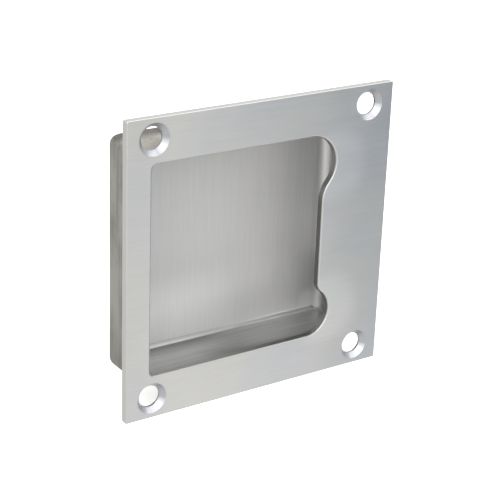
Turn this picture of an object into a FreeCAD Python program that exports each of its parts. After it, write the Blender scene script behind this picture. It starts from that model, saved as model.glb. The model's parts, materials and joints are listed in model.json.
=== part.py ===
import FreeCAD, Part
import math
import os
import Sketcher

# Flush pull: a square face plate with a tongue beside its opening, and a drawn pan welded to its back.
# The origin is the middle of the plate's back face. X runs to the right, Y into the door and Z up,
# so the face looks toward -Y and the pan reaches toward +Y. Lengths are in millimetres, angles in degrees.

SIZES = {
    # face plate
    "plate_side": 102,
    "plate_thickness": 2.5,
    "plate_corner_radius": 0.5,
    "plate_edge_radius": 0.3,
    # opening: widths of the bands of plate that are left round it
    "side_band": 8.9,
    "end_band": 14.9,
    "grip_band": 22.1,
    "opening_corner_radius": 2.0,
    "opening_edge_radius": 0.5,
    # tongue, the grip for the fingers, between an upper and a lower bulb of the opening
    "tongue_projection": 4.9,
    "upper_bulb_radius": 10.2,
    "upper_neck_radius": 10.4,
    "lower_bulb_radius": 8.8,
    "lower_neck_radius": 4.4,
    # countersunk screw holes
    "screw_hole_width": 7.6,
    "countersink_width": 10.7,
    "countersink_angle": 82,
    "screw_side_inset": 9.7,
    "screw_clearance": 0.4,
    # pan
    "sheet_thickness": 1.2,
    "side_ledge": 2.3,
    "end_ledge": 2.5,
    "finger_room": 18.2,
    "pan_depth": 22.2,
    "pan_bend_radius": 5.6,
    "pan_edge_radius": 2.8,
}

# Places, measured from the middle of the plate, and radii that follow from the sizes
PLACES = {
    "half_side": "plate_side / 2",
    "opening_left": "half_side - side_band",
    "opening_end": "half_side - end_band",
    "bulb_reach": "half_side - grip_band",
    "tongue_reach": "bulb_reach - tongue_projection",
    "pan_left": "opening_left + side_ledge + sheet_thickness",
    "pan_end": "opening_end + end_ledge + sheet_thickness",
    "pan_right": "tongue_reach + finger_room + sheet_thickness",
    "pan_inner_edge_radius": "pan_edge_radius - sheet_thickness",
    "screw_side": "half_side - screw_side_inset",
    "screw_end": "pan_end + screw_clearance + screw_hole_width / 2",
}

START, END, CENTRE = 1, 2, 3
ORIGIN = (-1, START)
NEAR = 1e-4


def make_sheet(doc):
    """Writes the sizes and the places into the sheet, one row each."""
    sheet = doc.addObject("Spreadsheet::Sheet", "Sizes")
    row = 1
    for name, value in SIZES.items():
        sheet.set(f"A{row}", name)
        sheet.set(f"B{row}", str(value))
        sheet.setAlias(f"B{row}", name)
        row += 1
    for name, formula in PLACES.items():
        sheet.set(f"A{row}", name)
        sheet.set(f"B{row}", "=" + formula)
        sheet.setAlias(f"B{row}", name)
        row += 1
    doc.recompute()
    return sheet


def bound(name):
    """An expression that reads one cell of the sheet."""
    return "Sizes." + name


def make_body(doc, label):
    body = doc.addObject("PartDesign::Body", label)
    body.Label = label
    body.Placement = FreeCAD.Placement()
    return body


def upright_plane(body):
    """The plane in which the plate's back and the pan's rim meet."""
    return next(f for f in body.Origin.OriginFeatures if f.Role == "XZ_Plane")


def upright_sketch(body, name):
    """A sketch on the upright plane: across is X, up is Z and its normal is -Y."""
    sketch = body.newObject("Sketcher::SketchObject", name)
    sketch.AttachmentSupport = [(upright_plane(body), "")]
    sketch.MapMode = "FlatFace"
    return sketch


def point(across, up):
    return FreeCAD.Vector(across, up, 0)


def bind(sketch, constraint, name, expression):
    """Adds a dimension to the sketch and ties it to the sheet."""
    index = sketch.addConstraint(constraint)
    sketch.renameConstraint(index, name)
    sketch.setExpression(f"Constraints.{name}", expression)


def add_line(sketch, start, end):
    return sketch.addGeometry(Part.LineSegment(point(*start), point(*end)), False)


def add_arc(sketch, centre, radius, start_angle, end_angle):
    circle = Part.Circle(point(*centre), FreeCAD.Vector(0, 0, 1), radius)
    return sketch.addGeometry(Part.ArcOfCircle(circle, start_angle, end_angle), False)


def rectangle(sketch, left, right, end):
    """A rectangle from the sheet's distances: left and right of the middle, and as far up as down."""
    sheet = sketch.Document.Sizes
    x0, x1, z1 = -sheet.get(left), sheet.get(right), sheet.get(end)
    corners = [(x0, -z1), (x1, -z1), (x1, z1), (x0, z1)]
    sides = [add_line(sketch, corners[i], corners[(i + 1) % 4]) for i in range(4)]
    for i in range(4):
        sketch.addConstraint(Sketcher.Constraint("Coincident", sides[i], END, sides[(i + 1) % 4], START))
    for side in sides[0::2]:
        sketch.addConstraint(Sketcher.Constraint("Horizontal", side))
    for side in sides[1::2]:
        sketch.addConstraint(Sketcher.Constraint("Vertical", side))
    bottom, top = sides[0], sides[2]
    bind(sketch, Sketcher.Constraint("DistanceX", bottom, START, *ORIGIN, -x0), "left", bound(left))
    bind(sketch, Sketcher.Constraint("DistanceX", *ORIGIN, bottom, END, x1), "right", bound(right))
    bind(sketch, Sketcher.Constraint("DistanceY", bottom, START, *ORIGIN, z1), "bottom", bound(end))
    bind(sketch, Sketcher.Constraint("DistanceY", *ORIGIN, top, START, z1), "top", bound(end))


def bulb_and_neck(reach, tongue, end, bulb_radius, neck_radius):
    """Centres of a bulb that touches the opening's end and of the neck that leads from it to the tongue,
    with the angle at the bulb's centre under which the two arcs meet."""
    bulb = (reach - bulb_radius, end - bulb_radius)
    across = tongue + neck_radius - bulb[0]
    down = math.sqrt((bulb_radius + neck_radius) ** 2 - across**2)
    neck = (tongue + neck_radius, bulb[1] - down)
    return bulb, neck, math.atan2(-down, across)


def opening_outline(sketch):
    """The opening: straight at the left, top and bottom, with two bulbs and the tongue at the right.
    Every stretch runs smoothly into the next."""
    size = sketch.Document.Sizes.get
    left, end, corner = size("opening_left"), size("opening_end"), size("opening_corner_radius")
    reach, tongue = size("bulb_reach"), size("tongue_reach")
    names = (("upper", 1), ("lower", -1))
    bulbs, necks = {}, {}
    for name, side in names:
        bulb_radius, neck_radius = size(name + "_bulb_radius"), size(name + "_neck_radius")
        bulb, neck, angle = bulb_and_neck(reach, tongue, end, bulb_radius, neck_radius)
        bulb, neck = (bulb[0], side * bulb[1]), (neck[0], side * neck[1])
        bulb_turn = sorted((side * angle, side * math.pi / 2))
        neck_turn = sorted((side * (angle + math.pi), side * math.pi))
        bulbs[name] = add_arc(sketch, bulb, bulb_radius, *bulb_turn), bulb
        necks[name] = add_arc(sketch, neck, neck_radius, *neck_turn), neck
    top = add_line(sketch, (-left + corner, end), (bulbs["upper"][1][0], end))
    bottom = add_line(sketch, (bulbs["lower"][1][0], -end), (-left + corner, -end))
    grip = add_line(sketch, (tongue, necks["upper"][1][1]), (tongue, necks["lower"][1][1]))
    back = add_line(sketch, (-left, -end + corner), (-left, end - corner))
    upper_corner = add_arc(sketch, (-left + corner, end - corner), corner, math.pi / 2, math.pi)
    lower_corner = add_arc(sketch, (-left + corner, -end + corner), corner, math.pi, 3 * math.pi / 2)
    upper_bulb, lower_bulb = bulbs["upper"][0], bulbs["lower"][0]
    upper_neck, lower_neck = necks["upper"][0], necks["lower"][0]
    joints = [
        (top, END, upper_bulb, END),
        (upper_bulb, START, upper_neck, START),
        (upper_neck, END, grip, START),
        (grip, END, lower_neck, START),
        (lower_neck, END, lower_bulb, END),
        (lower_bulb, START, bottom, START),
        (bottom, END, lower_corner, END),
        (lower_corner, START, back, START),
        (back, END, upper_corner, END),
        (upper_corner, START, top, START),
    ]
    for joint in joints:
        sketch.addConstraint(Sketcher.Constraint("Tangent", *joint))
    for line in (top, bottom):
        sketch.addConstraint(Sketcher.Constraint("Horizontal", line))
    for line in (grip, back):
        sketch.addConstraint(Sketcher.Constraint("Vertical", line))
    sketch.addConstraint(Sketcher.Constraint("Equal", upper_corner, lower_corner))
    corner_radius = Sketcher.Constraint("Radius", upper_corner, corner)
    bind(sketch, corner_radius, "corner", bound("opening_corner_radius"))
    for name, side in names:
        bulb_arc, bulb = bulbs[name]
        neck_arc = necks[name][0]
        for arc, radius in ((bulb_arc, name + "_bulb_radius"), (neck_arc, name + "_neck_radius")):
            bind(sketch, Sketcher.Constraint("Radius", arc, size(radius)), radius, bound(radius))
        centre = Sketcher.Constraint("DistanceX", *ORIGIN, bulb_arc, CENTRE, bulb[0])
        bind(sketch, centre, name + "_bulb_centre", f"Sizes.bulb_reach - Sizes.{name}_bulb_radius")
    to_back = Sketcher.Constraint("DistanceX", back, START, *ORIGIN, left)
    to_grip = Sketcher.Constraint("DistanceX", *ORIGIN, grip, START, tongue)
    to_top = Sketcher.Constraint("DistanceY", *ORIGIN, top, START, end)
    to_bottom = Sketcher.Constraint("DistanceY", bottom, START, *ORIGIN, end)
    bind(sketch, to_back, "left", bound("opening_left"))
    bind(sketch, to_grip, "tongue", bound("tongue_reach"))
    bind(sketch, to_top, "top", bound("opening_end"))
    bind(sketch, to_bottom, "bottom", bound("opening_end"))


def screw_centres(sketch):
    """Four equal circles, one in each corner, mirrored across both axes of the plate."""
    size = sketch.Document.Sizes.get
    across, up, radius = size("screw_side"), size("screw_end"), size("screw_hole_width") / 2
    circles = []
    for x_side, z_side in ((1, 1), (-1, 1), (-1, -1), (1, -1)):
        circle = Part.Circle(point(x_side * across, z_side * up), FreeCAD.Vector(0, 0, 1), radius)
        circles.append(sketch.addGeometry(circle, False))
    first, second, third, fourth = circles
    for other in (second, third, fourth):
        sketch.addConstraint(Sketcher.Constraint("Equal", first, other))
    sketch.addConstraint(Sketcher.Constraint("Symmetric", first, CENTRE, second, CENTRE, -2))
    sketch.addConstraint(Sketcher.Constraint("Symmetric", first, CENTRE, fourth, CENTRE, -1))
    sketch.addConstraint(Sketcher.Constraint("Symmetric", first, CENTRE, third, CENTRE, *ORIGIN))
    width = Sketcher.Constraint("Diameter", first, 2 * radius)
    to_side = Sketcher.Constraint("DistanceX", *ORIGIN, first, CENTRE, across)
    to_end = Sketcher.Constraint("DistanceY", *ORIGIN, first, CENTRE, up)
    bind(sketch, width, "width", bound("screw_hole_width"))
    bind(sketch, to_side, "side", bound("screw_side"))
    bind(sketch, to_end, "end", bound("screw_end"))


def edges_where(shape, wanted):
    """Names of the edges whose box passes the test."""
    return [f"Edge{i}" for i, edge in enumerate(shape.Edges, 1) if wanted(edge.BoundBox)]


def faces_where(shape, wanted):
    """Names of the faces whose box passes the test."""
    return [f"Face{i}" for i, face in enumerate(shape.Faces, 1) if wanted(face.BoundBox)]


def add_fillet(body, name, base, edges, radius):
    fillet = body.newObject("PartDesign::Fillet", name)
    fillet.Base = (base, edges)
    fillet.setExpression("Radius", bound(radius))
    body.Document.recompute()
    return fillet


def make_face_plate(doc):
    """A flat plate with crisp outer edges, an opening with a tongue and four screw holes."""
    body = make_body(doc, "face_plate")
    half, thickness = doc.Sizes.get("half_side"), doc.Sizes.get("plate_thickness")

    blank_sketch = upright_sketch(body, "BlankSketch")
    rectangle(blank_sketch, "half_side", "half_side", "half_side")
    blank = body.newObject("PartDesign::Pad", "Blank")
    blank.Profile = blank_sketch
    blank.setExpression("Length", bound("plate_thickness"))
    doc.recompute()

    corners = edges_where(blank.Shape, lambda box: box.YLength > thickness - NEAR)
    rounded = add_fillet(body, "PlateCorners", blank, corners, "plate_corner_radius")

    front_edges = edges_where(rounded.Shape, lambda box: box.YMax < -thickness + NEAR)
    eased = add_fillet(body, "PlateEdge", rounded, front_edges, "plate_edge_radius")

    opening_sketch = upright_sketch(body, "OpeningSketch")
    opening_outline(opening_sketch)
    opening = body.newObject("PartDesign::Pocket", "Opening")
    opening.Profile = opening_sketch
    opening.Type = "ThroughAll"
    opening.Reversed = True
    doc.recompute()
    if not opening.Shape.Volume < eased.Shape.Volume:
        raise ValueError("the opening cuts nothing")

    eased_edge = half - doc.Sizes.get("plate_edge_radius")

    def on_front_rim(box):
        furthest = max(abs(box.XMin), abs(box.XMax), abs(box.ZMin), abs(box.ZMax))
        return box.YMax < -thickness + NEAR and furthest < eased_edge - NEAR

    front_rim = edges_where(opening.Shape, on_front_rim)
    rim = add_fillet(body, "OpeningEdge", opening, front_rim, "opening_edge_radius")

    screw_sketch = upright_sketch(body, "ScrewSketch")
    screw_sketch.setExpression("AttachmentOffset.Base.z", bound("plate_thickness"))
    screw_centres(screw_sketch)
    doc.recompute()
    holes = body.newObject("PartDesign::Hole", "ScrewHoles")
    holes.Profile = screw_sketch
    doc.recompute()
    holes.ThreadType = "None"
    holes.DepthType = "ThroughAll"
    holes.HoleCutType = "Countersink"
    holes.setExpression("Diameter", bound("screw_hole_width"))
    holes.setExpression("HoleCutDiameter", bound("countersink_width"))
    holes.setExpression("HoleCutCountersinkAngle", bound("countersink_angle"))
    doc.recompute()
    if not holes.Shape.Volume < rim.Shape.Volume:
        raise ValueError("the screw holes cut nothing")
    return body


def make_pan(doc):
    """A pan of sheet: wide bends between back and sides, tighter ones along top and bottom, open front."""
    body = make_body(doc, "pan")
    depth, end = doc.Sizes.get("pan_depth"), doc.Sizes.get("pan_end")
    inner_end = end - doc.Sizes.get("sheet_thickness")

    rim_sketch = upright_sketch(body, "RimSketch")
    rectangle(rim_sketch, "pan_left", "pan_right", "pan_end")
    block = body.newObject("PartDesign::Pad", "Block")
    block.Profile = rim_sketch
    block.Reversed = True
    block.setExpression("Length", bound("pan_depth"))
    doc.recompute()

    back_sides = edges_where(block.Shape, lambda box: box.YMin > depth - NEAR and box.XLength < NEAR)
    bent = add_fillet(body, "SideBends", block, back_sides, "pan_bend_radius")

    mouth = faces_where(bent.Shape, lambda box: box.YMax < NEAR)
    shell = body.newObject("PartDesign::Thickness", "Sheet")
    shell.Base = (bent, mouth)
    shell.Reversed = True
    shell.Join = "Intersection"
    shell.setExpression("Value", bound("sheet_thickness"))
    doc.recompute()
    if not shell.Shape.Volume < bent.Shape.Volume:
        raise ValueError("the pan isn't hollow")

    def round_an_end(level):
        """Tells the edges that go round the pan's back and sides at one height above or below the middle."""
        return lambda box: box.YMax > NEAR and (box.ZMin > level - NEAR or box.ZMax < NEAR - level)

    outer_edges = edges_where(shell.Shape, round_an_end(end))
    rounded = add_fillet(body, "OuterEdges", shell, outer_edges, "pan_edge_radius")

    def inside(box):
        at_end = abs(max(box.ZMax, -box.ZMin) - inner_end) < NEAR
        return at_end and box.ZLength < NEAR and box.YMax > NEAR

    inner_edges = edges_where(rounded.Shape, inside)
    add_fillet(body, "InnerEdges", rounded, inner_edges, "pan_inner_edge_radius")
    return body


def check(doc, bodies):
    for item in doc.Objects:
        if "Invalid" in item.State or "Error" in item.State:
            raise ValueError(f"{item.Name}: {item.State}")
    for body in bodies:
        if body.Shape.isNull() or not body.Shape.isValid():
            raise ValueError(f"{body.Label} has no valid shape")


def main():
    doc = FreeCAD.newDocument("flush_pull")
    make_sheet(doc)
    bodies = [make_face_plate(doc), make_pan(doc)]
    doc.recompute()
    check(doc, bodies)
    os.makedirs("parts", exist_ok=True)
    for body in bodies:
        body.Shape.exportStep(f"parts/{body.Label}.step")


main()
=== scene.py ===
import json
import math
import bpy
from mathutils import Matrix, Vector


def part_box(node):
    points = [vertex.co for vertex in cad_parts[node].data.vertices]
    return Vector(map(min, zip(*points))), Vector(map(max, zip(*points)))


# Looks of the flush pull: brushed face plate, sheet pan, studio and camera.
# Lengths are in metres: X right across the plate, Y into the door, Z up.
# A pair of places says where a change begins and where it is full. A pair of shares says what a
# colour is multiplied by at these two places. Facings are parts of a surface's unit normal.

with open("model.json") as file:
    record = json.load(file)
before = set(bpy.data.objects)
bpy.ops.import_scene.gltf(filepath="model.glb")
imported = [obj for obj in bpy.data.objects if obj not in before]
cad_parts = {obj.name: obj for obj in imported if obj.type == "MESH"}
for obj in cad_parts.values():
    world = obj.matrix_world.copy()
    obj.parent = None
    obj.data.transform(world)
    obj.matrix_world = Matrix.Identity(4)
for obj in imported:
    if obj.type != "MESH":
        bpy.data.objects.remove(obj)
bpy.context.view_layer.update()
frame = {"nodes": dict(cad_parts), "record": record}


def grey(level):
    return (level, level, level, 1)


# Corners of the two pieces, inner faces of the pan's sheet, and half the spacing of the screws
MILLIMETRE = 0.001
PLATE_LOW, PLATE_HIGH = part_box("face_plate")
PAN_LOW, PAN_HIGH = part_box("pan")
PAN_MIDDLE = (PAN_LOW + PAN_HIGH) / 2
SHEET = 0.0012
INNER_RIGHT = PAN_HIGH.x - SHEET
INNER_FLOOR = PAN_LOW.z + SHEET
INNER_BACK = PAN_HIGH.y - SHEET
SCREWS = next(m for m in frame["record"]["mounts"] if m["name"] == "screws")["dims"]
SCREW_SIDE = SCREWS["spacing_x_mm"] * MILLIMETRE / 2
SCREW_END = SCREWS["spacing_y_mm"] * MILLIMETRE / 2


def left_of_wall(*distances):
    """Places at the given distances to the left of the pan's right wall."""
    return tuple(INNER_RIGHT - distance for distance in distances)


def above_floor(*heights):
    """Places at the given heights above the pan's floor."""
    return tuple(INNER_FLOOR + height for height in heights)


# Marks on the steel: how many there are in a metre along X, Y and Z, their detail and spread
PLATE_FINE_MARKS = (120, 2500, 6000)
PLATE_COARSE_MARKS = (30, 900, 1400)
PLATE_CLOUDS = (60, 60, 60)
PLATE_TINTS = (25, 25, 25)
SCREW_RINGS = (5000, 1, 1)
UPRIGHT_FINE_MARKS = (6000, 2500, 120)
UPRIGHT_COARSE_MARKS = (1400, 900, 30)
SIDEWAYS_MARKS = (60, 2600, 2600)
STAINS = (110, 110, 45)
SPECKS = (700, 700, 300)
PLAIN_DETAIL = 1.0
RICH_DETAIL = 3.0
NOISE_SPREAD = (0.3, 0.7)

# Plate: how fine marks, coarse marks and clouds are mixed, its colours, roughness and relief
PLATE_MIX = (0.45, 0.30, 0.25)
PLATE_DARK = grey(0.590)
PLATE_LIGHT = grey(0.690)
PLATE_COOL = (0.620, 0.632, 0.655, 1)
PLATE_WARM = (0.660, 0.655, 0.630, 1)
TINT_SPREAD = (0.4, 0.6)
TINT_SHARE = 0.5
PLATE_ROUGHNESS = (0.30, 0.35)
PLATE_RELIEF = 0.000003
PLATE_ANISOTROPY = 0.7

# Plate: painted light and shade from its foot to its head, in its left margin and in its right band
PAINTED_FOOT_TO_HEAD_SHADE = (1.02, 0.97)
LEFT_MARGIN = (0.004, 0.016)
LEFT_MARGIN_PAINTED_SHADE = (0.93, 1.0)
RIGHT_BAND = (0.072, 0.086)
RIGHT_BAND_PAINTED_SHADE = (1.0, 0.96)

# Painted highlight round the middles of the opening's two round bulbs
BULB_SIDE = PLATE_HIGH.x - 0.0225
BULB_HEIGHTS = (PLATE_HIGH.z - 0.0260, PLATE_LOW.z + 0.0239)
BULB_HIGHLIGHT_REACH = (0.006, 0.018)
BULB_HIGHLIGHT_SHARE = 1.14

# Plate's edges, outer and round the opening: how wide the outer strips are, and their colours, painted
# lighter or darker by facing and side
EDGE_STRIP = 0.0006
BACK_FACING = 0.95
EDGE_FACINGS = (-0.995, -0.90)
UPPER_FACINGS = (0.3, 0.9)
RIGHTWARD_FACINGS = (-0.1, 0.3)
SIDE_FACINGS = (0.75, 0.95)
PAINTED_LEFTWARD_RIM = (0.50, 0.50, 0.49, 1)
PAINTED_RIGHTWARD_RIM = (0.66, 0.66, 0.65, 1)
PAINTED_UPPER_RIM_SHADE = grey(0.32)
PAINTED_LEFT_STRIP = (0.54, 0.54, 0.53, 1)
PAINTED_HEAD_STRIP = grey(0.61)

# Wall of the opening: a box that holds it and no screw hole, its colour, a dark painted shade, and its
# painted light and shade by place
CUT_WALL_FRONT = PLATE_LOW.y + 0.0005
CUT_WALL_SIDE = PLATE_HIGH.x - 0.008
CUT_WALL_END = PLATE_HIGH.z - 0.0135
CUT_WALL_PAINTED_SHADE = (0.19, 0.187, 0.18)
CUT_WALL_SIDES = (PLATE_LOW.x + 0.029, PLATE_LOW.x + 0.059)
CUT_WALL_PAINTED_SHADING_BY_SIDE = (1.45, 0.95)
CUT_WALL_HEIGHTS = (PLATE_HIGH.z - 0.041, PLATE_HIGH.z - 0.031)
CUT_WALL_PAINTED_SHADING_BY_HEIGHT = (1.0, 1.8)

# Screw holes: the zone round each axis that holds the countersink, and the colours in it, with the bores
# painted darker as shade
SCREW_ZONE = SCREWS["hole_r_mm"] * MILLIMETRE + 0.0018
COUNTERSINK_FACINGS = (-0.95, -0.85)
BORE_FACINGS = (-0.40, -0.20)
COUNTERSINK_DARK = (0.44, 0.45, 0.48, 1)
COUNTERSINK_LIGHT = (0.52, 0.53, 0.56, 1)
BORE_PAINTED_SHADE = (0.33, 0.33, 0.34, 1)

# Pan: which facings count as its floor or top, the marks' mix, roughness, relief and how metallic
FLOOR_FACINGS = (0.10, 0.60)
PAST_BEND_FACINGS = (0.90, 1.0)
UPRIGHT_MIX = (0.5, 0.5)
WALL_FACINGS = (0.02, 0.20)
PAN_ROUGHNESS = (0.50, 0.36)
STREAK_ROUGHNESS = (0.0, 0.06)
PAN_RELIEF = 0.000004
PAN_ANISOTROPY = 0.5
PAN_METALLIC = (0.7, 1.0)

# Pan's back: its colours, the painted light low at the left, and the painted highlight at its right end
BACK_DARK = grey(0.570)
BACK_LIGHT = grey(0.615)
LOWER_BACK = above_floor(0.0286, 0.0086)
LOWER_BACK_SIDES = left_of_wall(0.0622, 0.0172)
LOWER_BACK_PAINTED_LIGHT = (0.48, 0.04)
RIGHT_END = left_of_wall(0.0372, 0.0052)
RIGHT_END_LEFT_SHARE = 0.97
RIGHT_END_HEIGHTS = above_floor(0.0336, 0.0536)
RIGHT_END_PAINTED_HIGHLIGHT = (1.44, 1.30)

# Bends above and below the pan's back: painted light and shade on their first half and their second half,
# and painted shade in the corners
BEND_SIDES = left_of_wall(0.0522, 0.0062)
FIRST_HALF_PAINTED_SHADING = (0.50, 1.22)
SECOND_HALF_PAINTED_SHADING = (0.66, 1.45)
HALVES_FACINGS = (0.50, 0.85)
BEND_FACINGS = (0.02, 0.25)
CORNER_FACINGS = (0.05, 0.40)
CORNER_PAINTED_SHADE = (1.0, 0.38)

# Pan's right side: painted shade below the tongue and on its bend and wall, and painted light low down
# where its bend begins
BESIDE_WALL = left_of_wall(0.0122, 0.0042)
BELOW_TONGUE = above_floor(0.0166, 0.0266)
BESIDE_WALL_PAINTED_SHADE = (0.88, 1.0)
SIDE_BEND = left_of_wall(0.0102, 0.0042)
SIDE_BEND_FACINGS = (0.15, 0.60)
SIDE_BEND_PAINTED_SHADE = (0.66, 1.0)
BAND_HEIGHTS = above_floor(0.0096, 0.0046)
BAND_PAINTED_LIGHT = (1.0, 1.40)
RIGHT_WALL = left_of_wall(0.0005, 0.0001)
RIGHT_WALL_PAINTED_SHADE = (1.0, 0.60)
LOW_WALL = left_of_wall(0.0012, 0.0002)
LOW_WALL_PAINTED_SHADE = (0.55, 1.0)

# Pan's floor: painted darker to the left, with a lighter streak, and painted light and shade at the back
# and front
FLOOR_SIDES = left_of_wall(0.0572, 0.0122)
PAINTED_FLOOR_SHADE = grey(0.235)
PAINTED_FLOOR_LIGHT = grey(0.55)
STREAK_DEPTH = 0.0118
STREAK_REACH = (0.0, 0.007)
STREAK_SIDES = left_of_wall(0.0602, 0.0402)
STREAK_SHARES = (1.6, 1.05)
FLOOR_BACK = (INNER_BACK - 0.0045, INNER_BACK - 0.0015)
FLOOR_BACK_SIDES = left_of_wall(0.0572, 0.0322)
FLOOR_BACK_PAINTED_SHADING = (0.82, 1.12)
FRONT_SIDES = left_of_wall(0.0622, 0.0402)
FRONT_STARTS = (0.011, 0.0075)
FRONT_ENDS = (0.005, 0.002)
FLOOR_FRONT_PAINTED_SHADING = (1.42, 0.64)
FLOOR_MARK_SHARES = (0.90, 1.10)

# Pan's outside: how stains, marks and specks are mixed, its colours, and its painted light and shade by
# place
STAIN_MIX = (0.55, 0.30, 0.15)
STAIN_ROUGHNESS = 0.4
STAIN_SPREAD = (0.38, 0.62)
OUTSIDE_DARK = (0.255, 0.249, 0.233, 1)
OUTSIDE_LIGHT = (0.37, 0.363, 0.342, 1)
TOP_FACINGS = (0.4, 0.9)
TOP_DEPTHS = (PAN_HIGH.y - 0.0122, PAN_HIGH.y - 0.0052)
TOP_PAINTED_LIGHT_AND_SHADE = (1.45, 0.6)
FOOT_HEIGHTS = (PAN_LOW.z + 0.0038, PAN_LOW.z + 0.0238)
FOOT_PAINTED_SHADE = (0.82, 1.0)

# Camera, as fitted to the photograph: angles in degrees, lens and sensor in millimetres
CAMERA_AZIMUTH = -34.62
CAMERA_ELEVATION = 21.76
CAMERA_ROLL = 2.13
CAMERA_DISTANCE = 0.4872
CAMERA_TARGET = (-0.0047, -0.0025, 0.0009)
CAMERA_LENS = 107.3
CAMERA_SENSOR = 36
CAMERA_CLIP = (0.01, 20)

# Studio: the direction of its grey side, and how near to it the grey begins and is full
WHITE = grey(1)
GREY_SIDE = (0.811, -0.568, -0.139)
GREY_SIDE_REACH = (0.906, 0.956)
STUDIO_WHITE = (1.0, 0.99, 0.96, 1)
STUDIO_GREY = (0.195, 0.265, 0.35, 1)

# White paper under the part: a disc of many sides
PAPER_RADIUS = 3.0
PAPER_SIDES = 64
PAPER_COLOUR = grey(0.9)
PAPER_GLOW = 0.5

# Softboxes, aimed at the plate's middle: place, width, height and power in watts
SOFTBOX_AIM = (0, 0, 0)
SOFTBOXES = {
    "softbox_left": ((-0.95, -0.75, 0.35), 1.0, 1.0, 3.0),
    "softbox_front": ((-0.35, -0.85, 0.8), 1.5, 1.1, 9.5),
    "softbox_right": ((0.6, -0.35, 0.95), 0.9, 0.9, 3.0),
}

# Directions along the three axes
RIGHTWARD = (1.0, 0.0, 0.0)
INWARD = (0.0, 1.0, 0.0)
UPWARD = (0.0, 0.0, 1.0)


def add_node(tree, kind, **settings):
    node = tree.nodes.new(kind)
    for name, value in settings.items():
        setattr(node, name, value)
    return node


def feed(tree, socket, value):
    """Links a socket to another node's output, or sets the socket's own value."""
    if isinstance(value, bpy.types.NodeSocket):
        tree.links.new(value, socket)
    else:
        socket.default_value = value


def calculate(tree, operation, first, second=None, clamp=False):
    node = add_node(tree, "ShaderNodeMath", operation=operation, use_clamp=clamp)
    feed(tree, node.inputs[0], first)
    if second is not None:
        feed(tree, node.inputs[1], second)
    return node.outputs[0]


def calculate_vector(tree, operation, first, second=None):
    node = add_node(tree, "ShaderNodeVectorMath", operation=operation)
    feed(tree, node.inputs[0], first)
    if second is not None:
        feed(tree, node.inputs[1], second)
    return node.outputs


def fade(tree, value, low, high, to_low=0.0, to_high=1.0):
    """Follows a value smoothly from to_low, where it is low, to to_high, where it is high."""
    node = add_node(tree, "ShaderNodeMapRange", interpolation_type="SMOOTHSTEP")
    feed(tree, node.inputs["Value"], value)
    feed(tree, node.inputs["From Min"], low)
    feed(tree, node.inputs["From Max"], high)
    feed(tree, node.inputs["To Min"], to_low)
    feed(tree, node.inputs["To Max"], to_high)
    return node.outputs[0]


def blend(tree, kind, share, first, second):
    """Goes from the first value to the second as the share goes from 0 to 1."""
    node = add_node(tree, "ShaderNodeMix", data_type=kind)
    feed(tree, node.inputs["Factor"], share)
    feed(tree, node.inputs["A"], first)
    feed(tree, node.inputs["B"], second)
    return node.outputs["Result"]


def blend_colour(tree, share, first, second):
    return blend(tree, "RGBA", share, first, second)


def blend_value(tree, share, first, second):
    return blend(tree, "FLOAT", share, first, second)


def blend_vector(tree, share, first, second):
    return blend(tree, "VECTOR", share, first, second)


def only_where(tree, where, share):
    """A share that counts where `where` is 1, and changes nothing where it is 0."""
    return blend_value(tree, where, 1.0, share)


def noise(tree, place, per_metre, detail=2.0, roughness=0.5):
    """Noise whose three axes have their own number of marks per metre."""
    texture = add_node(tree, "ShaderNodeTexNoise")
    feed(tree, texture.inputs["Vector"], calculate_vector(tree, "MULTIPLY", place, per_metre)[0])
    texture.inputs["Scale"].default_value = 1.0
    texture.inputs["Detail"].default_value = detail
    texture.inputs["Roughness"].default_value = roughness
    return texture.outputs["Fac"]


def scaled(tree, colour, *shares):
    """A colour multiplied by one share after the other."""
    for share in shares:
        node = add_node(tree, "ShaderNodeVectorMath", operation="SCALE")
        feed(tree, node.inputs[0], colour)
        feed(tree, node.inputs["Scale"], share)
        colour = node.outputs[0]
    return colour


def mixed(tree, values, shares):
    """Sum of values, each times its share."""
    total = 0.0
    for value, share in zip(values, shares):
        total = calculate(tree, "ADD", total, calculate(tree, "MULTIPLY", value, share))
    return total


def parts_of(tree, vector):
    node = add_node(tree, "ShaderNodeSeparateXYZ")
    feed(tree, node.inputs[0], vector)
    return node.outputs


def vector_of(tree, x, y, z):
    node = add_node(tree, "ShaderNodeCombineXYZ")
    for socket, value in zip(node.inputs, (x, y, z)):
        feed(tree, socket, value)
    return node.outputs[0]


def bump(tree, height, distance):
    node = add_node(tree, "ShaderNodeBump")
    node.inputs["Strength"].default_value = 1.0
    node.inputs["Distance"].default_value = distance
    feed(tree, node.inputs["Height"], height)
    return node


def new_material(name):
    material = bpy.data.materials.new(name)
    material.use_nodes = True
    material.node_tree.nodes.clear()
    return material, material.node_tree


def place_and_normal(tree):
    """Where a point of the surface is on the part, and which way it faces."""
    place = add_node(tree, "ShaderNodeTexCoord").outputs["Object"]
    normal = add_node(tree, "ShaderNodeNewGeometry").outputs["Normal"]
    return place, normal


def steel_shader(tree, colour, roughness, normal, tangent, anisotropy, metallic):
    shader = add_node(tree, "ShaderNodeBsdfPrincipled")
    feed(tree, shader.inputs["Base Color"], colour)
    feed(tree, shader.inputs["Metallic"], metallic)
    feed(tree, shader.inputs["Roughness"], roughness)
    feed(tree, shader.inputs["Anisotropic"], anisotropy)
    feed(tree, shader.inputs["Normal"], normal)
    feed(tree, shader.inputs["Tangent"], tangent)
    output = add_node(tree, "ShaderNodeOutputMaterial")
    tree.links.new(shader.outputs[0], output.inputs["Surface"])


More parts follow.
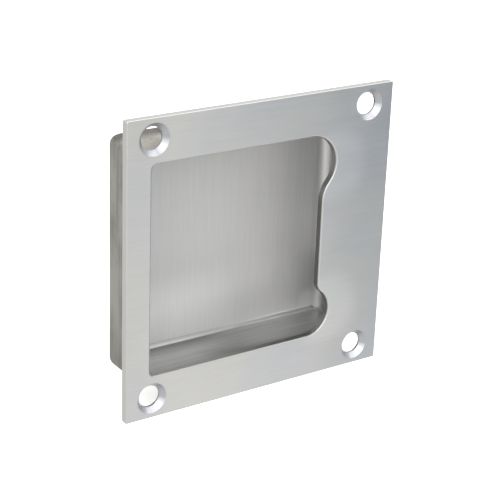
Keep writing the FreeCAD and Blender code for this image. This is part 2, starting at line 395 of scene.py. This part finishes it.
def from_screw(tree, place):
    """In the plate's plane, the direction away from the nearest screw's axis and the distance to it."""
    x, _, z = parts_of(tree, place)
    sides = []
    for value, middle in ((x, SCREW_SIDE), (z, SCREW_END)):
        past = calculate(tree, "SUBTRACT", calculate(tree, "ABSOLUTE", value), middle)
        sides.append(calculate(tree, "MULTIPLY", past, calculate(tree, "SIGN", value)))
    arm = vector_of(tree, sides[0], 0.0, sides[1])
    away = calculate_vector(tree, "NORMALIZE", arm)["Vector"]
    return away, calculate_vector(tree, "LENGTH", arm)["Value"]


def turned_normal(tree, away, normal):
    """The normal of a surface turned round a screw's axis, from its slope alone."""
    slope = parts_of(tree, normal)[1]
    x, _, z = parts_of(tree, away)
    flat = calculate(tree, "MULTIPLY", slope, slope)
    inward = calculate(tree, "SQRT", calculate(tree, "SUBTRACT", 1.0, flat, clamp=True))
    inward = calculate(tree, "MULTIPLY", inward, -1.0)
    across = calculate(tree, "MULTIPLY", inward, x)
    upright = calculate(tree, "MULTIPLY", inward, z)
    return vector_of(tree, across, slope, upright)


def painted_bulb_highlight(tree, place):
    """1 beside the bulbs of the opening, where the plate gets a painted highlight, fading to 0."""
    x, _, z = parts_of(tree, place)
    across = calculate(tree, "SUBTRACT", x, BULB_SIDE)
    total = 0.0
    for height in BULB_HEIGHTS:
        arm = vector_of(tree, across, 0.0, calculate(tree, "SUBTRACT", z, height))
        distance = calculate_vector(tree, "LENGTH", arm)["Value"]
        total = calculate(tree, "MAXIMUM", total, fade(tree, distance, *BULB_HIGHLIGHT_REACH, 1.0, 0.0))
    return total


def face_colour(tree, place, tone):
    """The plate's face: brushed, slightly tinted, with painted light and shade by place."""
    x, _, z = parts_of(tree, place)
    brushed = blend_colour(tree, fade(tree, tone, *NOISE_SPREAD), PLATE_DARK, PLATE_LIGHT)
    tint = fade(tree, noise(tree, place, PLATE_TINTS, PLAIN_DETAIL), *TINT_SPREAD)
    tinted = blend_colour(tree, tint, PLATE_COOL, PLATE_WARM)
    colour = blend_colour(tree, TINT_SHARE, brushed, tinted)
    from_left = calculate(tree, "SUBTRACT", x, PLATE_LOW.x)
    return scaled(
        tree,
        colour,
        # Painted highlight beside the bulbs
        fade(tree, painted_bulb_highlight(tree, place), 0.0, 1.0, 1.0, BULB_HIGHLIGHT_SHARE),
        # Painted light and shade from foot to head, in the left margin and in the right band
        fade(tree, z, PLATE_LOW.z, PLATE_HIGH.z, *PAINTED_FOOT_TO_HEAD_SHADE),
        fade(tree, from_left, *LEFT_MARGIN, *LEFT_MARGIN_PAINTED_SHADE),
        fade(tree, from_left, *RIGHT_BAND, *RIGHT_BAND_PAINTED_SHADE),
    )


def edge_colour(tree, place, normal):
    """The ground edges, painted lighter or darker by facing and side: the rim of the opening, and the
    plate's left and upper strips.
    """
    x, _, z = parts_of(tree, place)
    rightward = fade(tree, parts_of(tree, normal)[0], *RIGHTWARD_FACINGS)
    upper = fade(tree, parts_of(tree, normal)[2], *UPPER_FACINGS)
    # The rim's colours are painted light and shade by facing, and the strips' colours by side
    rim = blend_colour(tree, rightward, PAINTED_LEFTWARD_RIM, PAINTED_RIGHTWARD_RIM)
    rim = blend_colour(tree, upper, rim, PAINTED_UPPER_RIM_SHADE)
    on_left = calculate(tree, "LESS_THAN", x, PLATE_LOW.x + EDGE_STRIP)
    on_head = calculate(tree, "GREATER_THAN", z, PLATE_HIGH.z - EDGE_STRIP)
    edge = blend_colour(tree, on_left, rim, PAINTED_LEFT_STRIP)
    return blend_colour(tree, on_head, edge, PAINTED_HEAD_STRIP)


def with_cut_wall(tree, place, colour):
    """Adds the wall that the opening leaves through the plate's thickness, painted dark as shade, lighter
    by place.
    """
    x, y, z = parts_of(tree, place)
    behind = calculate(tree, "GREATER_THAN", y, CUT_WALL_FRONT)
    across = calculate(tree, "LESS_THAN", calculate(tree, "ABSOLUTE", x), CUT_WALL_SIDE)
    upright = calculate(tree, "LESS_THAN", calculate(tree, "ABSOLUTE", z), CUT_WALL_END)
    on_wall = calculate(tree, "MULTIPLY", behind, calculate(tree, "MULTIPLY", across, upright))
    # The cut wall is painted dark as shade, lighter toward the left and toward the top
    wall = scaled(
        tree,
        CUT_WALL_PAINTED_SHADE,
        fade(tree, x, *CUT_WALL_SIDES, *CUT_WALL_PAINTED_SHADING_BY_SIDE),
        fade(tree, z, *CUT_WALL_HEIGHTS, *CUT_WALL_PAINTED_SHADING_BY_HEIGHT),
    )
    return blend_colour(tree, on_wall, colour, wall)


def with_screw_holes(tree, in_hole, facing, distance, colour):
    """Adds the turned countersinks and the bores, painted darker as shade."""
    in_sink = calculate(tree, "MULTIPLY", in_hole, fade(tree, facing, *COUNTERSINK_FACINGS))
    in_bore = calculate(tree, "MULTIPLY", in_hole, fade(tree, facing, *BORE_FACINGS))
    rings = noise(tree, vector_of(tree, distance, 0.0, 0.0), SCREW_RINGS, PLAIN_DETAIL)
    turned = blend_colour(tree, fade(tree, rings, *NOISE_SPREAD), COUNTERSINK_DARK, COUNTERSINK_LIGHT)
    colour = blend_colour(tree, in_sink, colour, turned)
    # The bores are painted darker as shade
    return blend_colour(tree, in_bore, colour, BORE_PAINTED_SHADE)


def plate_material():
    """Satin plate, brushed from side to side, with its screw holes turned and its edges ground, and with
    painted light and shade on its face, edges, cut wall and bores.
    """
    material, tree = new_material("brushed_plate")
    place, flat_normal = place_and_normal(tree)
    away, distance = from_screw(tree, place)
    at_screw = calculate(tree, "LESS_THAN", distance, SCREW_ZONE)
    normal = blend_vector(tree, at_screw, flat_normal, turned_normal(tree, away, flat_normal))
    facing = parts_of(tree, normal)[1]
    not_back = calculate(tree, "LESS_THAN", facing, BACK_FACING)
    on_edge = calculate(tree, "MULTIPLY", not_back, fade(tree, facing, *EDGE_FACINGS))
    in_hole = calculate(tree, "MULTIPLY", at_screw, not_back)

    fine = noise(tree, place, PLATE_FINE_MARKS)
    coarse = noise(tree, place, PLATE_COARSE_MARKS)
    clouds = noise(tree, place, PLATE_CLOUDS)
    tone = mixed(tree, (fine, coarse, clouds), PLATE_MIX)
    colour = blend_colour(tree, on_edge, face_colour(tree, place, tone), edge_colour(tree, place, normal))
    colour = with_cut_wall(tree, place, colour)
    colour = with_screw_holes(tree, in_hole, facing, distance, colour)
    roughness = fade(tree, tone, *NOISE_SPREAD, *PLATE_ROUGHNESS)

    relief = bump(tree, fine, PLATE_RELIEF)
    feed(tree, relief.inputs["Normal"], normal)
    aside = calculate(tree, "ABSOLUTE", parts_of(tree, normal)[0])
    grain = blend_vector(tree, fade(tree, aside, *SIDE_FACINGS), RIGHTWARD, UPWARD)
    round_screw = calculate_vector(tree, "CROSS_PRODUCT", away, INWARD)[0]
    grain = blend_vector(tree, at_screw, grain, round_screw)
    tangent = calculate_vector(tree, "CROSS_PRODUCT", grain, normal)[0]
    steel_shader(tree, colour, roughness, relief.outputs[0], tangent, PLATE_ANISOTROPY, 1.0)
    return material


def is_outside(tree, place, normal):
    """1 where the pan's surface faces away from its middle, 0 inside it."""
    arm = calculate_vector(tree, "SUBTRACT", place, PAN_MIDDLE)[0]
    outward = calculate_vector(tree, "DOT_PRODUCT", arm, normal)["Value"]
    return calculate(tree, "GREATER_THAN", outward, 0.0)


def back_colour(tree, place, streak):
    """The pan's back: painted light low at the left, and a painted highlight toward its right end."""
    x, _, z = parts_of(tree, place)
    colour = blend_colour(tree, fade(tree, streak, *NOISE_SPREAD), BACK_DARK, BACK_LIGHT)
    # Painted light low at the left of the back, and a painted highlight at its right end
    lower_back_light = fade(tree, x, *LOWER_BACK_SIDES, *LOWER_BACK_PAINTED_LIGHT)
    lower_back_light = calculate(tree, "MULTIPLY", fade(tree, z, *LOWER_BACK), lower_back_light)
    right_end_highlight = fade(tree, z, *RIGHT_END_HEIGHTS, *RIGHT_END_PAINTED_HIGHLIGHT)
    return scaled(
        tree,
        colour,
        calculate(tree, "ADD", lower_back_light, 1.0),
        fade(tree, x, *RIGHT_END, RIGHT_END_LEFT_SHARE, right_end_highlight),
    )


def painted_bend_shading(tree, place, facing_up):
    """Painted light and shade on the bends above and below the pan's back, whose two halves differ."""
    x = parts_of(tree, place)[0]
    first_half = fade(tree, x, *BEND_SIDES, *FIRST_HALF_PAINTED_SHADING)
    second_half = fade(tree, x, *BEND_SIDES, *SECOND_HALF_PAINTED_SHADING)
    share = blend_value(tree, fade(tree, facing_up, *HALVES_FACINGS), first_half, second_half)
    return only_where(tree, fade(tree, facing_up, *BEND_FACINGS), share)


def painted_right_side_shading(tree, place, aside):
    """Painted light and shade on the pan's right side: the back beside the wall, the bend, and the wall.
    """
    x, _, z = parts_of(tree, place)
    beside = fade(tree, z, *BELOW_TONGUE, *BESIDE_WALL_PAINTED_SHADE)
    band = fade(tree, z, *BAND_HEIGHTS, *BAND_PAINTED_LIGHT)
    low_bend = fade(tree, z, *BELOW_TONGUE, *SIDE_BEND_PAINTED_SHADE)
    bend = blend_value(tree, fade(tree, aside, *SIDE_BEND_FACINGS), band, low_bend)
    low_wall = fade(tree, z, *BELOW_TONGUE, *LOW_WALL_PAINTED_SHADE)
    # Painted shade beside the wall below the tongue, painted light and shade on the bend, and painted
    # shade on the wall
    return (
        only_where(tree, fade(tree, x, *BESIDE_WALL), beside),
        only_where(tree, fade(tree, x, *SIDE_BEND), bend),
        fade(tree, x, *RIGHT_WALL, *RIGHT_WALL_PAINTED_SHADE),
        only_where(tree, fade(tree, x, *LOW_WALL), low_wall),
    )


def pan_floor_colour(tree, place, streak):
    """The pan's floor, and its top from inside: painted darker to the left, a lighter streak, and painted
    light and shade at the back and front.
    """
    x, y, _ = parts_of(tree, place)
    # Painted darker to the left
    colour = blend_colour(tree, fade(tree, x, *FLOOR_SIDES), PAINTED_FLOOR_SHADE, PAINTED_FLOOR_LIGHT)
    from_streak = calculate(tree, "ABSOLUTE", calculate(tree, "SUBTRACT", y, STREAK_DEPTH))
    streak_gain = fade(tree, x, *STREAK_SIDES, *STREAK_SHARES)
    at_back = fade(tree, x, *FLOOR_BACK_SIDES, *FLOOR_BACK_PAINTED_SHADING)
    front_start = fade(tree, x, *FRONT_SIDES, *FRONT_STARTS)
    front_end = fade(tree, x, *FRONT_SIDES, *FRONT_ENDS)
    at_front = fade(tree, x, *FRONT_SIDES, *FLOOR_FRONT_PAINTED_SHADING)
    return scaled(
        tree,
        colour,
        # A lighter streak, then painted light and shade at the back and front
        fade(tree, from_streak, *STREAK_REACH, streak_gain, 1.0),
        fade(tree, y, *FLOOR_BACK, 1.0, at_back),
        only_where(tree, fade(tree, y, front_start, front_end), at_front),
        fade(tree, streak, *NOISE_SPREAD, *FLOOR_MARK_SHARES),
    )


def outside_colour(tree, place, normal, upright_coarse):
    """The pan's dull outside: stained, with painted light and shade along its top and painted shade low
    by its foot.
    """
    _, y, z = parts_of(tree, place)
    stains = noise(tree, place, STAINS, roughness=STAIN_ROUGHNESS)
    stain = mixed(tree, (stains, upright_coarse, noise(tree, place, SPECKS)), STAIN_MIX)
    colour = blend_colour(tree, fade(tree, stain, *STAIN_SPREAD), OUTSIDE_DARK, OUTSIDE_LIGHT)
    on_top = fade(tree, parts_of(tree, normal)[2], *TOP_FACINGS)
    return scaled(
        tree,
        colour,
        # Painted light and shade along the top, and painted shade low by the foot
        only_where(tree, on_top, fade(tree, y, *TOP_DEPTHS, *TOP_PAINTED_LIGHT_AND_SHADE)),
        fade(tree, z, *FOOT_HEIGHTS, *FOOT_PAINTED_SHADE),
    )


def pan_material():
    """Sheet pan: brushed inside with painted light and shade, dull and stained outside with painted light
    and shade by place.
    """
    material, tree = new_material("drawn_pan")
    place, normal = place_and_normal(tree)
    facing_up = calculate(tree, "ABSOLUTE", parts_of(tree, normal)[2])
    aside = calculate(tree, "ABSOLUTE", parts_of(tree, normal)[0])
    on_floor = fade(tree, facing_up, *FLOOR_FACINGS)
    outside = is_outside(tree, place, normal)

    upright_coarse = noise(tree, place, UPRIGHT_COARSE_MARKS)
    upright = mixed(tree, (noise(tree, place, UPRIGHT_FINE_MARKS), upright_coarse), UPRIGHT_MIX)
    sideways = noise(tree, place, SIDEWAYS_MARKS, RICH_DETAIL)
    streak = blend_value(tree, on_floor, upright, sideways)

    # Painted light and shade on the bends, and painted shade in the corners
    corner = calculate(tree, "MINIMUM", facing_up, aside)
    shares = (
        painted_bend_shading(tree, place, facing_up),
        fade(tree, corner, *CORNER_FACINGS, *CORNER_PAINTED_SHADE),
        # Painted light and shade on the pan's right side
        *painted_right_side_shading(tree, place, aside),
    )
    inner = scaled(tree, back_colour(tree, place, streak), *shares)
    past_bend = fade(tree, facing_up, *PAST_BEND_FACINGS)
    inner = blend_colour(tree, past_bend, inner, pan_floor_colour(tree, place, streak))
    colour = blend_colour(tree, outside, inner, outside_colour(tree, place, normal, upright_coarse))

    on_inner_wall = calculate(tree, "MULTIPLY", aside, calculate(tree, "SUBTRACT", 1.0, outside))
    by_facing = fade(tree, on_inner_wall, *WALL_FACINGS, *PAN_ROUGHNESS)
    by_streak = fade(tree, streak, *NOISE_SPREAD, *STREAK_ROUGHNESS)
    roughness = calculate(tree, "ADD", by_facing, by_streak)
    full_metal = calculate(tree, "MAXIMUM", on_floor, outside)
    metallic = fade(tree, full_metal, 0.0, 1.0, *PAN_METALLIC)
    relief = bump(tree, streak, PAN_RELIEF)
    grain = blend_vector(tree, on_floor, UPWARD, RIGHTWARD)
    tangent = calculate_vector(tree, "CROSS_PRODUCT", grain, normal)[0]
    steel_shader(tree, colour, roughness, relief.outputs[0], tangent, PAN_ANISOTROPY, metallic)
    return material


def dress(node, material):
    for slot in frame["nodes"][node].material_slots:
        slot.material = material


def paper_material():
    """White paper: it shows white and keeps the part's shadow."""
    material, tree = new_material("white_paper")
    diffuse = add_node(tree, "ShaderNodeBsdfDiffuse")
    diffuse.inputs["Color"].default_value = PAPER_COLOUR
    glow = add_node(tree, "ShaderNodeEmission")
    glow.inputs["Color"].default_value = WHITE
    rays = add_node(tree, "ShaderNodeLightPath").outputs
    seen = calculate(tree, "ADD", rays["Is Camera Ray"], rays["Is Glossy Ray"])
    seen = calculate(tree, "ADD", seen, rays["Is Transmission Ray"])
    feed(tree, glow.inputs["Strength"], calculate(tree, "MULTIPLY", seen, PAPER_GLOW))
    total = add_node(tree, "ShaderNodeAddShader")
    tree.links.new(diffuse.outputs[0], total.inputs[0])
    tree.links.new(glow.outputs[0], total.inputs[1])
    output = add_node(tree, "ShaderNodeOutputMaterial")
    tree.links.new(total.outputs[0], output.inputs["Surface"])
    return material


def make_floor():
    """A round sheet of white paper under the plate's lower edge."""
    mesh = bpy.data.meshes.new("floor")
    turn = 2 * math.pi / PAPER_SIDES
    ring = []
    for i in range(PAPER_SIDES):
        ring.append((PAPER_RADIUS * math.cos(i * turn), PAPER_RADIUS * math.sin(i * turn), PLATE_LOW.z))
    mesh.from_pydata(ring, [], [tuple(range(PAPER_SIDES))])
    mesh.materials.append(paper_material())
    floor = bpy.data.objects.new("floor", mesh)
    bpy.context.scene.collection.objects.link(floor)
    floor.visible_glossy = False


def make_world():
    """White all round for the camera. The steel also mirrors a grey, slightly blue side of the studio."""
    world = bpy.data.worlds.new("studio")
    bpy.context.scene.world = world
    world.use_nodes = True
    tree = world.node_tree
    tree.nodes.clear()
    direction = add_node(tree, "ShaderNodeTexCoord").outputs["Generated"]
    toward = calculate_vector(tree, "DOT_PRODUCT", direction, GREY_SIDE)["Value"]
    studio = blend_colour(tree, fade(tree, toward, *GREY_SIDE_REACH), STUDIO_WHITE, STUDIO_GREY)
    rays = add_node(tree, "ShaderNodeLightPath").outputs
    seen = calculate(tree, "ADD", rays["Is Camera Ray"], rays["Is Transmission Ray"], clamp=True)
    background = add_node(tree, "ShaderNodeBackground")
    feed(tree, background.inputs["Color"], blend_colour(tree, seen, studio, WHITE))
    background.inputs["Strength"].default_value = 1.0
    output = add_node(tree, "ShaderNodeOutputWorld")
    tree.links.new(background.outputs[0], output.inputs["Surface"])


def make_softbox(name, place, width, height, power):
    light = bpy.data.lights.new(name, "AREA")
    light.shape = "RECTANGLE"
    light.size = width
    light.size_y = height
    light.energy = power
    lamp = bpy.data.objects.new(name, light)
    bpy.context.scene.collection.objects.link(lamp)
    lamp.location = place
    lamp.rotation_euler = (Vector(SOFTBOX_AIM) - Vector(place)).to_track_quat("-Z", "Y").to_euler()
    lamp.visible_camera = False


def make_lights():
    for name, (place, width, height, power) in SOFTBOXES.items():
        make_softbox(name, place, width, height, power)


def make_camera():
    azimuth = math.radians(CAMERA_AZIMUTH)
    elevation = math.radians(CAMERA_ELEVATION)
    back = Vector((
        math.sin(azimuth) * math.cos(elevation),
        -math.cos(azimuth) * math.cos(elevation),
        math.sin(elevation),
    ))
    side = Vector((math.cos(azimuth), math.sin(azimuth), 0))
    upright = Matrix((side, back.cross(side), back)).transposed()
    turn = upright @ Matrix.Rotation(math.radians(CAMERA_ROLL), 3, "Z")
    data = bpy.data.cameras.new("camera")
    data.lens = CAMERA_LENS
    data.sensor_width = CAMERA_SENSOR
    data.clip_start, data.clip_end = CAMERA_CLIP
    camera = bpy.data.objects.new("camera", data)
    bpy.context.scene.collection.objects.link(camera)
    place = Vector(CAMERA_TARGET) + back * CAMERA_DISTANCE
    camera.matrix_world = Matrix.Translation(place) @ turn.to_4x4()
    bpy.context.scene.camera = camera


dress("face_plate", plate_material())
dress("pan", pan_material())
make_floor()
make_world()
make_lights()
make_camera()
bpy.context.scene.view_settings.view_transform = "Standard"
